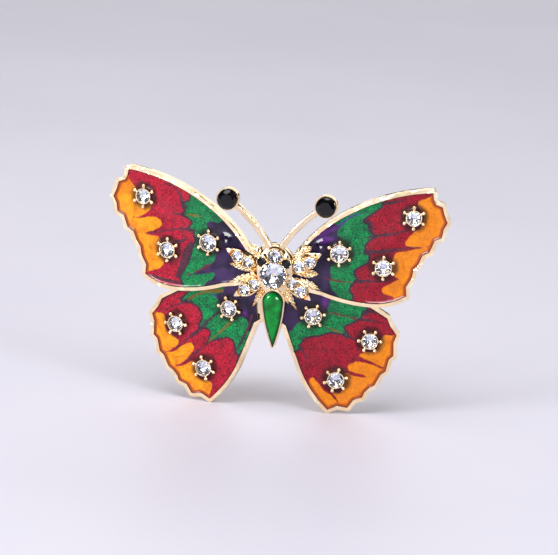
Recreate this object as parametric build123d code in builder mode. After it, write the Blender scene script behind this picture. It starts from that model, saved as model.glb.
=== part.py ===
from build123d import *
import os
from math import atan2, cos, degrees, hypot, radians, sin, tan

# Butterfly brooch: a cast, gold-plated frame of four enamelled wings, with claw-set stones,
# a jewelled flower at the middle, an enamelled body, two antennae and a hinged pin behind.
# Frame: X across the wings, the front faces -Y, +Z up. The origin is the middle of the pin stem.
# All lengths are millimetres.

# ---- driving dimensions ----------------------------------------------------------------
STEM_OUT = 4.9          # from the wings' back, at the middle, out to the pin's axis
STEM_UP = 4.0           # from the waist, where upper and lower wings meet, up to the pin's axis
BEND = 10.0             # degrees that each pair of wings is bent back from flat
RIM = 0.55              # width of the gold rim round each enamel field

LOWER_FLOOR = 0.9       # heights in front of the wings' back
LOWER_ENAMEL = 1.45
LOWER_RIM = 1.6
UPPER_FLOOR = 1.35
UPPER_ENAMEL = 1.95
UPPER_RIM = 2.1

LOWER_STEP = 0.5        # behind these heights the frame's outer edge steps inward
UPPER_STEP = 0.8
BACK_INSET = 0.3
BACK_RECESS = 0.35      # depth of the hollow cast into each wing's back
BACK_LIP = 0.75         # width of the lip that stays round it

PAD_OUT = 13.5          # cast pads in the hollows, that carry the pin's hinge and catch
PAD_RADIUS = 2.9

HUB_HALF_WIDTH = 1.55
HUB_TOP = 7.0
HUB_FRONT = 1.5
BOSS_BACK = 0.6         # the oval boss reaches this far behind the wings' back
BOSS_FRONT = 0.7        # and this far in front of it, under the enamel
HUB_INSET = 0.15        # the spine under the body is this much narrower than the body

CHATON_CROWN = 0.30     # a round stone's proportions, as shares of its radius
CHATON_PAVILION = 0.72
CHATON_TABLE = 0.62
CHATON_GIRDLE = 0.06
SEAT_GAP = 0.02         # glue line between a stone and its seat
CUP_WALL = 0.14
SEAT_LIP = 0.05         # how far a cup stands above its stone's girdle

CLAW_COUNT = 6
CLAW_WIRE = 0.19        # radii of a claw and of the ball at its tip
CLAW_BALL = 0.3
CLAW_REACH = 0.42       # from the cup out to the ball's middle
CLAW_CLEAR = 0.08       # how far the claws stay above the enamel

CENTRE_STONE = 2.0      # stone radii
HEAD_STONE = 1.07
EYE_STONE = 0.7
LEAF_STONE = 0.82
ANTENNA_STONE = 1.55

ORNAMENT_SHIFT = 0.65   # the flower, body and antennae are soldered on right of the middle
ORNAMENT_BACK = 2.25    # heights of the flower's leaves, in front of the wings' back
ORNAMENT_FRONT = 2.85

BODY_BACK = 1.5
BODY_RIM = 2.9
BODY_WALL = 0.2
BODY_FLOOR = 2.2
BODY_LEAN = 0.2         # how far right the body's tip leans

ROD_WIDTH = 0.95
ROD_DEPTH = 1.0

HINGE_X = -13.5         # pin fittings
CATCH_X = 13.0
STEM_RADIUS = 0.4
STEM_HALF = 11.6        # half the plain length of the stem
STEM_TIP = 16.0
EYE_RADIUS = 1.0
EYE_HALF = 0.75
EAR_RADIUS = 1.1
EAR_GAP_HALF = 0.8
EAR_HALF = 1.35
RIVET_RADIUS = 0.4
RIVET_HEAD = 0.68
RIVET_HEAD_HEIGHT = 0.3
RUNNING = 0.04          # radial clearance of everything that turns
CATCH_OUTER = 1.95
CATCH_INNER = 1.4
CATCH_HALF = 1.2
CATCH_GAP_HALF = 0.6    # half the gap between the catch's two rings, where the lever runs
LOCK_INNER = 0.62
SLOT_HALF = 0.55
LEVER_REACH = 3.0
LEVER_HALF = 0.5
LEVER_ANGLE = -62.0     # where the lever stands when the lock is open, from +Y about +X

# ---- the frame of the wings --------------------------------------------------------------
RIDGE = Vector(0, -STEM_OUT, -STEM_UP)
OUTWARD = (cos(radians(BEND)), sin(radians(BEND)), 0)
FORWARD = (sin(radians(BEND)), -cos(radians(BEND)), 0)
WING = Plane(origin=RIDGE, x_dir=OUTWARD, z_dir=FORWARD)    # right wings: x outward, y up
FRONT = Plane(origin=RIDGE, x_dir=(1, 0, 0), z_dir=(0, -1, 0))   # the flat middle
SHIFT = Vector(ORNAMENT_SHIFT, 0, 0)
ORNAMENT = Plane(origin=RIDGE + SHIFT, x_dir=(1, 0, 0), z_dir=(0, -1, 0))
LEAF = Plane(origin=RIDGE + SHIFT, x_dir=OUTWARD, z_dir=FORWARD)  # the flower's right leaves
MIDDLE = Plane.YZ.offset(ORNAMENT_SHIFT)                         # the flower's mirror plane


def wing_back(x):
    """Where the wings' back lies along Y, at a place x across the brooch."""
    return -STEM_OUT + abs(x) * tan(radians(BEND))


# Upper wing's enamel field: arcs (start, middle, end) and straight-sided scallops, in order
UPPER_LEADING = [[(3.6, 5.9), (6.6, 9.35), (11.2, 12.7)], [(11.2, 12.7), (17.2, 15.3), (23.45, 16.45)]]
UPPER_SCALLOPS = [
    (23.45, 16.45), (23.6, 15.4), (23.95, 14.7), (25.0, 14.3), (25.3, 13.2), (25.85, 11.9),
    (25.3, 10.9), (25.1, 9.6), (24.05, 9.1), (23.65, 8.0), (23.35, 7.3), (22.35, 6.75),
    (21.75, 5.3), (21.1, 4.5), (20.9, 3.2), (20.1, 1.75), (20.2, 0.3),
]
UPPER_TRAILING = [[(20.2, 0.3), (17.6, -0.85), (14.6, -1.1)], [(14.6, -1.1), (11.0, -0.6), (7.5, 0.45)]]
UPPER_ROOT = [(7.5, 0.45), (2.6, 1.5), (3.6, 5.9)]

# Lower wing's enamel field; its top runs under the upper wing
LOWER_SCALLOPS = [
    (1.0, -4.3), (1.0, 1.2), (13.0, 0.0), (14.75, -1.7), (17.55, -3.4), (18.05, -4.6), (19.1, -6.0),
    (18.7, -7.2), (18.75, -9.3), (18.1, -9.9), (17.65, -11.8), (16.95, -12.35), (16.1, -14.1),
    (15.35, -14.5), (14.6, -15.3), (14.3, -16.1), (13.0, -16.55), (12.1, -17.85), (10.5, -17.6),
    (9.1, -18.3),
]
LOWER_INNER = [[(9.1, -18.3), (6.5, -15.3), (4.7, -12.0)], [(4.7, -12.0), (3.4, -8.5), (2.2, -5.2)]]
LOWER_ROOT = [(2.2, -5.2), (1.0, -4.3)]

# Where each wing's stones stand: name, place on the wing, radius, turn of the claws in degrees
UPPER_STONES = [
    ("outer", (20.75, 12.5), 1.06, 30),
    ("middle", (16.55, 4.6), 1.12, 30),
    ("inner", (9.85, 6.55), 1.22, 30),
]
LOWER_STONES = [
    ("inner", (6.3, -3.5), 1.15, 10),
    ("middle", (15.05, -7.05), 1.1, 0),
    ("outer", (10.15, -13.45), 1.15, 15),
]

# Leaves of the flower, on the leaves' plane: base, tip, half-width, and where it is widest
RIGHT_BLADES = [
    ((1.2, 4.6), (5.05, 7.6), 0.8, 0.6),
    ((1.6, 3.4), (6.25, 3.3), 0.65, 0.65),
    ((1.5, 2.6), (6.5, 1.0), 0.7, 0.55),
    ((0.8, 1.6), (3.2, -2.5), 0.5, 0.4),
    ((0.6, 1.2), (1.9, -1.6), 0.45, 0.4),
]
LEFT_BLADES = [
    ((1.2, 4.6), (3.7, 7.25), 0.85, 0.6),
    ((1.6, 3.2), (6.9, 3.75), 0.6, 0.6),
    ((1.5, 2.6), (6.7, 1.0), 0.75, 0.55),
    ((0.8, 1.6), (2.95, -2.6), 0.5, 0.4),
]
RIGHT_STONE_LEAVES = [((1.9, 3.8), (6.55, 6.6), 1.1, 0.48), ((0.9, 2.9), (5.2, -0.75), 1.1, 0.5)]
LEFT_STONE_LEAVES = [((2.2, 3.6), (7.45, 6.15), 1.1, 0.48), ((1.2, 1.9), (5.9, -1.1), 1.1, 0.5)]
RIGHT_LEAF_STONES = [
    ("upper_inner", (3.26, 4.5)),
    ("upper_outer", (4.85, 5.2)),
    ("lower_inner", (2.3, 1.75)),
    ("lower_outer", (3.62, 0.58)),
]
LEFT_LEAF_STONES = [
    ("upper_inner", (3.75, 4.4)),
    ("upper_outer", (5.45, 5.15)),
    ("lower_inner", (2.6, 1.1)),
    ("lower_outer", (4.15, 0.1)),
]

pieces = []


def keep(name, solid):
    """Name a finished piece, and list it for writing."""
    solid.label = name
    pieces.append(solid)


def keep_pair(name, solid, about=Plane.YZ):
    """Keep a right-hand piece and its mirror image on the left."""
    keep(f"{name}_right", solid)
    keep(f"{name}_left", mirrored(solid, about))


def mirrored(solid, about):
    """The solid's mirror image."""
    with BuildPart() as image:
        mirror(solid, about=about)
    return image.part


# ---- outlines ----------------------------------------------------------------------------
def upper_field(plane):
    """The upper wing's enamel field, as a sketch on the given plane."""
    with BuildSketch(plane) as field:
        with BuildLine():
            for arc in UPPER_LEADING + UPPER_TRAILING:
                ThreePointArc(*arc)
            Polyline(*UPPER_SCALLOPS)
            Polyline(*UPPER_ROOT)
        make_face()
    return field.sketch


def lower_field(plane):
    """The lower wing's enamel field, as a sketch on the given plane."""
    with BuildSketch(plane) as field:
        with BuildLine():
            for arc in LOWER_INNER:
                ThreePointArc(*arc)
            Polyline(*LOWER_SCALLOPS)
            Polyline(*LOWER_ROOT)
        make_face()
    return field.sketch


def grown(sketch, amount):
    """A sketch grown outward, or shrunk inward where the amount is negative."""
    return offset(sketch, amount=amount, kind=Kind.ARC, mode=Mode.PRIVATE)


def body_outline(inset):
    """The body's drop shape: a round shoulder that runs down to a narrow tip."""
    with BuildSketch(ORNAMENT.offset(BODY_BACK)) as drop:
        with BuildLine():
            for side in (1, -1):
                ThreePointArc((0, 0.75), (1.3 * side, 0.1), (1.78 * side, -1.6))
                ThreePointArc((1.78 * side, -1.6), (1.3 * side + BODY_LEAN / 2, -4.8),
                              (0.32 * side + BODY_LEAN, -8.1))
            ThreePointArc((0.32 + BODY_LEAN, -8.1), (BODY_LEAN, -8.45), (-0.32 + BODY_LEAN, -8.1))
        make_face()
        if inset:
            offset(amount=-inset, kind=Kind.ARC, mode=Mode.REPLACE)
    return drop.sketch


def draw_leaf(base, tip, half_width, widest):
    """Draw a pointed leaf from base to tip, widest about the given share of its length."""
    start = Vector(*base)
    along = Vector(*tip) - start
    across = Vector(-along.Y, along.X).normalized() * half_width
    middle = start + along * widest
    ThreePointArc(start, middle + across, Vector(*tip))
    ThreePointArc(Vector(*tip), middle - across, start)


# ---- stones and settings -------------------------------------------------------------------
def chaton(plane, radius):
    """A round cut stone whose girdle's lower edge lies on the plane, pointing forward."""
    table = CHATON_TABLE * radius
    girdle = CHATON_GIRDLE * radius
    crown = girdle + CHATON_CROWN * radius
    pavilion = CHATON_PAVILION * radius
    culet = 0.05 * radius
    with BuildPart() as stone:
        with BuildSketch(Plane(origin=plane.origin, x_dir=plane.x_dir, z_dir=-plane.y_dir)):
            with BuildLine():
                Polyline((0, -pavilion), (culet, -pavilion), (radius, 0), (radius, girdle),
                         (table, crown), (0, crown), close=True)
            make_face()
        revolve(axis=Axis(plane.origin, plane.z_dir))
    return stone.part


def seat(plane, radius):
    """The hollow that a chaton sits in, a glue line larger than the stone; a cutting tool."""
    mouth = radius + SEAT_GAP
    pavilion = CHATON_PAVILION * radius + SEAT_GAP
    with BuildPart() as hollow:
        with BuildSketch(Plane(origin=plane.origin, x_dir=plane.x_dir, z_dir=-plane.y_dir)):
            with BuildLine():
                Polyline((0, -pavilion), (0.1 * radius, -pavilion), (mouth, -SEAT_GAP),
                         (mouth, 3 * radius), (0, 3 * radius), close=True)
            make_face()
        revolve(axis=Axis(plane.origin, plane.z_dir))
    return hollow.part


def claw_setting(plane, floor, enamel, radius, turn):
    """A thin cup with six claws that reach out over the enamel and end in balls."""
    cup = radius + SEAT_GAP + CUP_WALL
    ball_at = cup + CLAW_REACH
    ball_height = enamel + CLAW_CLEAR + CLAW_BALL
    root_at = cup - CUP_WALL / 2
    root_height = enamel + CLAW_CLEAR + CLAW_WIRE
    claw_length = hypot(ball_at - root_at, ball_height - root_height)
    claw_tilt = degrees(atan2(ball_at - root_at, ball_height - root_height))
    with BuildPart(plane.offset(floor)) as blank:
        Cylinder(cup, SEAT_LIP - floor, align=(Align.CENTER, Align.CENTER, Align.MIN))
        with Locations((0, 0, (ball_height + root_height) / 2)):
            with PolarLocations((ball_at + root_at) / 2, CLAW_COUNT, start_angle=turn):
                Cylinder(CLAW_WIRE, claw_length, rotation=(0, claw_tilt, 0))
        with Locations((0, 0, ball_height)):
            with PolarLocations(ball_at, CLAW_COUNT, start_angle=turn):
                Sphere(CLAW_BALL)
    with BuildPart() as setting:
        add(blank.part)
        add(seat(plane, radius), mode=Mode.SUBTRACT)
    return setting.part


def disc(plane, radius, height):
    """A plain round block that stands on the plane."""
    with BuildPart(plane) as block:
        Cylinder(radius, height, align=(Align.CENTER, Align.CENTER, Align.MIN))
    return block.part


def wing_place(spot, height):
    """The plane parallel to the right wings at a place on them and a height in front."""
    return Plane(origin=WING.from_local_coords((*spot, height)), x_dir=WING.x_dir, z_dir=WING.z_dir)


def leaf_place(spot, height):
    """The same for a place on the flower's right leaves."""
    return Plane(origin=LEAF.from_local_coords((*spot, height)), x_dir=LEAF.x_dir, z_dir=LEAF.z_dir)


def front_place(x, up, height):
    """The plane that faces forward, at a place on the flower or body and a height in front."""
    origin = RIDGE + SHIFT + Vector(x, -height, up)
    return Plane(origin=origin, x_dir=(1, 0, 0), z_dir=(0, -1, 0))


# ---- wing frame ------------------------------------------------------------------------------
with BuildPart() as right_wings:
    extrude(grown(lower_field(WING.offset(LOWER_STEP)), RIM), amount=LOWER_RIM - LOWER_STEP)
    extrude(grown(lower_field(WING), RIM - BACK_INSET), amount=LOWER_STEP)
    extrude(lower_field(WING.offset(LOWER_FLOOR)), amount=LOWER_RIM, mode=Mode.SUBTRACT)
    extrude(grown(upper_field(WING.offset(UPPER_STEP)), RIM), amount=UPPER_RIM - UPPER_STEP)
    extrude(grown(upper_field(WING), RIM - BACK_INSET), amount=UPPER_STEP)
    extrude(upper_field(WING.offset(UPPER_FLOOR)), amount=UPPER_RIM, mode=Mode.SUBTRACT)
    extrude(grown(upper_field(WING), RIM - BACK_LIP), amount=BACK_RECESS, mode=Mode.SUBTRACT)
    extrude(grown(lower_field(WING), RIM - BACK_LIP), amount=BACK_RECESS, mode=Mode.SUBTRACT)
    add(disc(wing_place((PAD_OUT, STEM_UP), 0), PAD_RADIUS, BACK_RECESS))

boss_plane = FRONT.offset(-BOSS_BACK)
with BuildPart() as hub_block:
    with BuildSketch(boss_plane):
        with Locations((0, HUB_TOP / 2)):
            Rectangle(2 * HUB_HALF_WIDTH, HUB_TOP)
    extrude(amount=HUB_FRONT + BOSS_BACK)
    with BuildSketch(boss_plane):
        with Locations((0, 1.4)):
            Ellipse(4.2, 5.8)
    extrude(amount=BOSS_BACK + BOSS_FRONT)
    extrude(body_outline(HUB_INSET), amount=-BODY_BACK)
with BuildPart() as wing_frame:
    add(right_wings.part)
    mirror(right_wings.part, about=Plane.YZ)
    add(hub_block.part)
keep("wing_frame", wing_frame.part)


# ---- wing stones and their settings ------------------------------------------------------------
def wing_jewels(wing, stones, enamel_top, floor):
    """The claw settings and stones of one wing; returns the cups' holes, to cut in its enamel."""
    girdle = enamel_top + 0.5
    holes = []
    for place_name, spot, radius, turn in stones:
        plane = wing_place(spot, girdle)
        setting = claw_setting(plane, floor - girdle, enamel_top - floor, radius, turn)
        keep_pair(f"claw_setting_{wing}_{place_name}", setting)
        keep_pair(f"wing_stone_{wing}_{place_name}", chaton(plane, radius))
        holes.append((spot, radius + SEAT_GAP + CUP_WALL + SEAT_GAP))
    return holes


def enamel_fill(field, holes, floor, top, cutter):
    """Enamel poured in one wing's field round the settings, clear of the cutter solid."""
    with BuildPart() as enamel:
        extrude(field(WING.offset(floor)), amount=top - floor)
        for spot, hole in holes:
            with BuildSketch(wing_place(spot, floor)):
                Circle(hole)
            extrude(amount=top, mode=Mode.SUBTRACT)
        if cutter:
            add(cutter, mode=Mode.SUBTRACT)
    return enamel.part


upper_holes = wing_jewels("upper", UPPER_STONES, UPPER_ENAMEL, UPPER_FLOOR)
lower_holes = wing_jewels("lower", LOWER_STONES, LOWER_ENAMEL, LOWER_FLOOR)
upper_plate = extrude(grown(upper_field(WING), RIM), amount=UPPER_RIM)
keep_pair("upper_enamel", enamel_fill(upper_field, upper_holes, UPPER_FLOOR, UPPER_ENAMEL, hub_block.part))
with BuildPart() as lower_cutter:
    add(hub_block.part)
    add(upper_plate)
keep_pair("lower_enamel", enamel_fill(lower_field, lower_holes, LOWER_FLOOR, LOWER_ENAMEL,
                                      lower_cutter.part))

# ---- flower at the middle ------------------------------------------------------------------------
leaf_height = ORNAMENT_FRONT - ORNAMENT_BACK
centre_girdle = ORNAMENT_FRONT + 0.7
head_girdle = ORNAMENT_FRONT + 0.5
eye_girdle = ORNAMENT_FRONT + 0.35
leaf_girdle = ORNAMENT_FRONT + 0.1
centre_plane = front_place(0, 3.1, centre_girdle)
head_plane = front_place(0.15, 6.0, head_girdle)
eye_plane = front_place(1.87, 4.95, eye_girdle)


def right_leaves(blades, stone_leaves, leaf_stones):
    """The leaves of one side, with a cup for each of their stones, drawn on the right."""
    with BuildPart() as leaves:
        for shapes, height in ((blades, leaf_height - 0.1), (stone_leaves, leaf_height)):
            for base, tip, half_width, widest in shapes:
                with BuildSketch(LEAF.offset(ORNAMENT_BACK)):
                    with BuildLine():
                        draw_leaf(base, tip, half_width, widest)
                    make_face()
                extrude(amount=height)
        for place_name, spot in leaf_stones:
            add(disc(leaf_place(spot, ORNAMENT_BACK), LEAF_STONE + SEAT_GAP + CUP_WALL,
                     leaf_girdle - ORNAMENT_BACK + 0.04))
    return leaves.part


def leaf_seats(leaf_stones):
    """The hollows of one side's leaf stones, drawn on the right."""
    return [seat(leaf_place(spot, leaf_girdle), LEAF_STONE) for place_name, spot in leaf_stones]


with BuildPart() as flower:
    add(right_leaves(RIGHT_BLADES, RIGHT_STONE_LEAVES, RIGHT_LEAF_STONES))
    add(mirrored(right_leaves(LEFT_BLADES, LEFT_STONE_LEAVES, LEFT_LEAF_STONES), MIDDLE))
    with BuildSketch(ORNAMENT.offset(ORNAMENT_BACK)):
        with Locations((0, 3.6)):
            Ellipse(2.7, 3.9)
    extrude(amount=leaf_height)
    with BuildSketch(FRONT.offset(HUB_FRONT)):
        with Locations((0, HUB_TOP / 2 + 0.4)):
            Rectangle(2 * HUB_HALF_WIDTH - 0.3, HUB_TOP - 1.2)
    extrude(amount=ORNAMENT_BACK - HUB_FRONT)
    for plane, radius, girdle in (
        (centre_plane, CENTRE_STONE, centre_girdle),
        (head_plane, HEAD_STONE, head_girdle),
        (eye_plane, EYE_STONE, eye_girdle),
        (front_place(-1.87, 4.95, eye_girdle), EYE_STONE, eye_girdle),
    ):
        add(disc(plane.offset(ORNAMENT_BACK - girdle), radius + SEAT_GAP + CUP_WALL,
                 girdle - ORNAMENT_BACK + 0.06))
    extrude(body_outline(-SEAT_GAP), amount=BODY_RIM, mode=Mode.SUBTRACT)
    eye_seat = seat(eye_plane, EYE_STONE)
    for hollow in leaf_seats(RIGHT_LEAF_STONES) + [eye_seat]:
        add(hollow, mode=Mode.SUBTRACT)
    for hollow in leaf_seats(LEFT_LEAF_STONES) + [eye_seat]:
        add(mirrored(hollow, MIDDLE), mode=Mode.SUBTRACT)
    add(seat(head_plane, HEAD_STONE), mode=Mode.SUBTRACT)
    add(seat(centre_plane, CENTRE_STONE), mode=Mode.SUBTRACT)
keep("centre_flower", flower.part)
keep("centre_stone", chaton(centre_plane, CENTRE_STONE))
keep("head_stone", chaton(head_plane, HEAD_STONE))
keep_pair("eye_stone", chaton(eye_plane, EYE_STONE), MIDDLE)
for place_name, spot in RIGHT_LEAF_STONES:
    keep(f"leaf_stone_{place_name}_right", chaton(leaf_place(spot, leaf_girdle), LEAF_STONE))
for place_name, spot in LEFT_LEAF_STONES:
    stone = chaton(leaf_place(spot, leaf_girdle), LEAF_STONE)
    keep(f"leaf_stone_{place_name}_left", mirrored(stone, MIDDLE))

# ---- body -----------------------------------------------------------------------------------------
with BuildPart() as body_cup:
    extrude(body_outline(0), amount=BODY_RIM - BODY_BACK)
    extrude(body_outline(BODY_WALL).moved(Location((0, BODY_BACK - BODY_FLOOR, 0))),
            amount=BODY_RIM, mode=Mode.SUBTRACT)
keep("body_cup", body_cup.part)
with BuildPart() as body_enamel:
    extrude(body_outline(BODY_WALL).moved(Location((0, BODY_BACK - BODY_FLOOR, 0))),
            amount=BODY_RIM - BODY_FLOOR - 0.1)
keep("body_enamel", body_enamel.part)

# ---- antennae ---------------------------------------------------------------------------------------
antenna_girdle = ORNAMENT_FRONT + 0.4
antenna_plane = front_place(7.5, 14.1, antenna_girdle)
antenna_cup_back = antenna_girdle - 1.6
cup_radius = ANTENNA_STONE + SEAT_GAP + 0.19
antenna_seat = seat(antenna_plane, ANTENNA_STONE)
with BuildPart() as antenna_cup:
    with BuildSketch(antenna_plane.offset(antenna_cup_back - antenna_girdle)):
        Circle(cup_radius)
    extrude(amount=antenna_girdle - antenna_cup_back - 0.35)
    fillet(antenna_cup.faces().sort_by(Axis.Y)[-1].edges(), 0.3)
    add(antenna_seat, mode=Mode.SUBTRACT)
with BuildPart() as antenna_rod:
    with BuildLine(ORNAMENT.offset(antenna_cup_back + ROD_DEPTH / 2 + 0.2)) as rod_line:
        ThreePointArc((0.75, 6.9), (3.75, 11.0), (7.5, 14.1))
    with BuildSketch(Plane(origin=rod_line.line @ 0, z_dir=rod_line.line % 0, x_dir=(0, 1, 0))):
        RectangleRounded(ROD_DEPTH, ROD_WIDTH, 0.2)
    sweep(path=rod_line.line)
    add(disc(antenna_plane.offset(-5), cup_radius, 10), mode=Mode.SUBTRACT)
    add(flower.part, mode=Mode.SUBTRACT)
keep_pair("antenna_cup", antenna_cup.part, MIDDLE)
keep_pair("antenna_rod", antenna_rod.part, MIDDLE)
keep_pair("antenna_stone", chaton(antenna_plane, ANTENNA_STONE), MIDDLE)

# ---- hinge, pin and catch ------------------------------------------------------------------------------
base_back = -EAR_RADIUS - 0.12
with BuildPart() as hinge_base:
    with BuildSketch(Plane.XY.offset(-EAR_HALF)):
        with BuildLine():
            Polyline((HINGE_X - 1.9, wing_back(HINGE_X - 1.9)), (HINGE_X + 1.9, wing_back(HINGE_X + 1.9)),
                     (HINGE_X + 1.9, base_back), (HINGE_X - 1.9, base_back), close=True)
        make_face()
    extrude(amount=2 * EAR_HALF)
    with BuildSketch(Plane.XY.offset(-EAR_HALF)) as ear:
        Rectangle(2 * EAR_RADIUS, EAR_RADIUS + 0.12, align=(Align.CENTER, Align.MAX))
        Circle(EAR_RADIUS)
    extrude(ear.sketch.moved(Location((HINGE_X, 0, 0))), amount=EAR_HALF - EAR_GAP_HALF)
    extrude(ear.sketch.moved(Location((HINGE_X, 0, EAR_HALF + EAR_GAP_HALF))),
            amount=EAR_HALF - EAR_GAP_HALF)
    with Locations((HINGE_X, 0, 0)):
        Cylinder(RIVET_RADIUS, 4 * EAR_HALF, mode=Mode.SUBTRACT)
keep("hinge_base", hinge_base.part)
with BuildPart() as hinge_rivet:
    with Locations((HINGE_X, 0, 0)):
        Cylinder(RIVET_RADIUS, 2 * EAR_HALF)
        with Locations((0, 0, EAR_HALF + RIVET_HEAD_HEIGHT / 2), (0, 0, -EAR_HALF - RIVET_HEAD_HEIGHT / 2)):
            Cylinder(RIVET_HEAD, RIVET_HEAD_HEIGHT)
keep("hinge_rivet", hinge_rivet.part)

with BuildPart() as pin_stem:
    with BuildSketch(Plane.XY):
        with BuildLine():
            Polyline((-STEM_HALF - 1.2, 0), (-STEM_HALF - 1.2, 0.62), (-STEM_HALF, STEM_RADIUS),
                     (STEM_HALF, STEM_RADIUS), (STEM_TIP, 0.05), (STEM_TIP, 0), close=True)
        make_face()
    revolve(axis=Axis.X)
    with Locations((HINGE_X, 0, 0)):
        Cylinder(EYE_RADIUS, 2 * EYE_HALF)
        Cylinder(RIVET_RADIUS + RUNNING, 2, mode=Mode.SUBTRACT)
keep("pin_stem", pin_stem.part)

catch_left = CATCH_X - CATCH_HALF
catch_right = CATCH_X + CATCH_HALF
with BuildPart() as catch_body:
    with BuildSketch(Plane.XY.offset(-0.9)):
        with BuildLine():
            Polyline((catch_left, wing_back(catch_left)), (catch_right, wing_back(catch_right)),
                     (catch_right, -1.5), (catch_left, -1.5), close=True)
        make_face()
    extrude(amount=1.8)
    with Locations((CATCH_X, 0, 0)):
        Cylinder(CATCH_OUTER, 2 * CATCH_HALF, rotation=(0, 90, 0))
        Cylinder(CATCH_INNER + RUNNING, 3 * CATCH_HALF, rotation=(0, 90, 0), mode=Mode.SUBTRACT)
        Box(3 * CATCH_HALF, 4, 2 * SLOT_HALF, align=(Align.CENTER, Align.MIN, Align.CENTER),
            mode=Mode.SUBTRACT)
    with BuildSketch(Plane(origin=(CATCH_X - CATCH_GAP_HALF, 0, 0), x_dir=(0, 1, 0), z_dir=(1, 0, 0))):
        Circle(CATCH_OUTER + 0.5)
        with Locations((-CATCH_OUTER, 0)):
            Rectangle(2 * CATCH_OUTER, 2 * CATCH_OUTER, mode=Mode.SUBTRACT)
    extrude(amount=2 * CATCH_GAP_HALF, mode=Mode.SUBTRACT)
keep("catch_body", catch_body.part)

with BuildPart() as catch_lock:
    with Locations((CATCH_X, 0, 0)):
        Cylinder(CATCH_INNER, 2 * CATCH_HALF, rotation=(0, 90, 0))
        Cylinder(LOCK_INNER, 3 * CATCH_HALF, rotation=(0, 90, 0), mode=Mode.SUBTRACT)
        Box(3 * CATCH_HALF, 4, 2 * SLOT_HALF, align=(Align.CENTER, Align.MIN, Align.CENTER),
            mode=Mode.SUBTRACT)
    lever_out = (0, cos(radians(LEVER_ANGLE)), sin(radians(LEVER_ANGLE)))
    with BuildSketch(Plane(origin=(CATCH_X, 0, 0), x_dir=(1, 0, 0), z_dir=lever_out).offset(1.1)):
        RectangleRounded(2 * LEVER_HALF, 0.8, 0.2)
    extrude(amount=LEVER_REACH - 1.1)
keep("catch_lock", catch_lock.part)

os.makedirs("parts", exist_ok=True)
for piece in pieces:
    export_step(piece, f"parts/{piece.label}.step")
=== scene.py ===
from math import ceil, cos, log, pi, radians, sin, sqrt

import bmesh
import bpy
import numpy as np
from mathutils import Matrix, Vector


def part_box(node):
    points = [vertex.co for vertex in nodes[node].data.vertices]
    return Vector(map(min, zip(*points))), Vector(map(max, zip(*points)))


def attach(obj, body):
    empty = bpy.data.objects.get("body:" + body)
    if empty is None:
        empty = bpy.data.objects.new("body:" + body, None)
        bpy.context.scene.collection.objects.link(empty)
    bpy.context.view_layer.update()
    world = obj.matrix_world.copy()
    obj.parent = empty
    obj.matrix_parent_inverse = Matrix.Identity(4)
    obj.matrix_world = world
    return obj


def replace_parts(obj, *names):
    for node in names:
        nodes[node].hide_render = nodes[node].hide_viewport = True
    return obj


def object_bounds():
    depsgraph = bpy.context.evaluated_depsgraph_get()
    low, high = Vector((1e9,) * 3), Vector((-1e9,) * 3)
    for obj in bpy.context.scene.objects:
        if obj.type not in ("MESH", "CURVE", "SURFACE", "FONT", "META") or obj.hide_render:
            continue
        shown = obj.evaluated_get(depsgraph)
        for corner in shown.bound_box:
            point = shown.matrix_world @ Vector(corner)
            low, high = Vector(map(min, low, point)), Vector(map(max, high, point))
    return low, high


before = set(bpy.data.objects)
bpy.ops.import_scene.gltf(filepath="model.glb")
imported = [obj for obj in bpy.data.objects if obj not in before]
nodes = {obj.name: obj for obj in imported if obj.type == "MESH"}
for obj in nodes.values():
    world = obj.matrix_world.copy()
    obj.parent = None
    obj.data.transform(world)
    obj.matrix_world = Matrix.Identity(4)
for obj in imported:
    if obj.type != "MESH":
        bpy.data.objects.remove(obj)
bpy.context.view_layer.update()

MM = 0.001

# ---- where things are, in millimetres --------------------------------------------------------
BEND = radians(10.0)
RIDGE = Vector((0, -4.9, -4.0))     # the waist, on the wings' back
ORNAMENT_SHIFT = 0.65               # the flower and body stand this far right of the middle
UPPER_TOP = 1.95                    # heights of the enamel in front of the wings' back
LOWER_TOP = 1.45
LEAF_BACK = 2.25                    # heights of the flower's leaves
LEAF_FRONT = 2.85


def wing_point(side, u, v, h):
    """A point on a wing, in metres: u outward, v up, h in front of the wing's back."""
    x = u * cos(BEND) + h * sin(BEND)
    y = u * sin(BEND) - h * cos(BEND)
    return (Vector((side * x, y, v)) + RIDGE) * MM


def leaf_point(side, u, v, h):
    """The same on the flower's leaves, which spread from their own middle."""
    return wing_point(side, u, v, h) + Vector((ORNAMENT_SHIFT * MM, 0, 0))


def forward(side):
    """The way that a wing on that side faces."""
    return Vector((side * sin(BEND), -cos(BEND), 0))


# ---- materials -------------------------------------------------------------------------------
def rgb(red, green, blue):
    """A linear colour from screen values of 0 to 255."""
    shares = [value / 255 for value in (red, green, blue)]
    return tuple(((s + 0.055) / 1.055) ** 2.4 if s > 0.04 else s / 12.92 for s in shares) + (1.0,)


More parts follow.
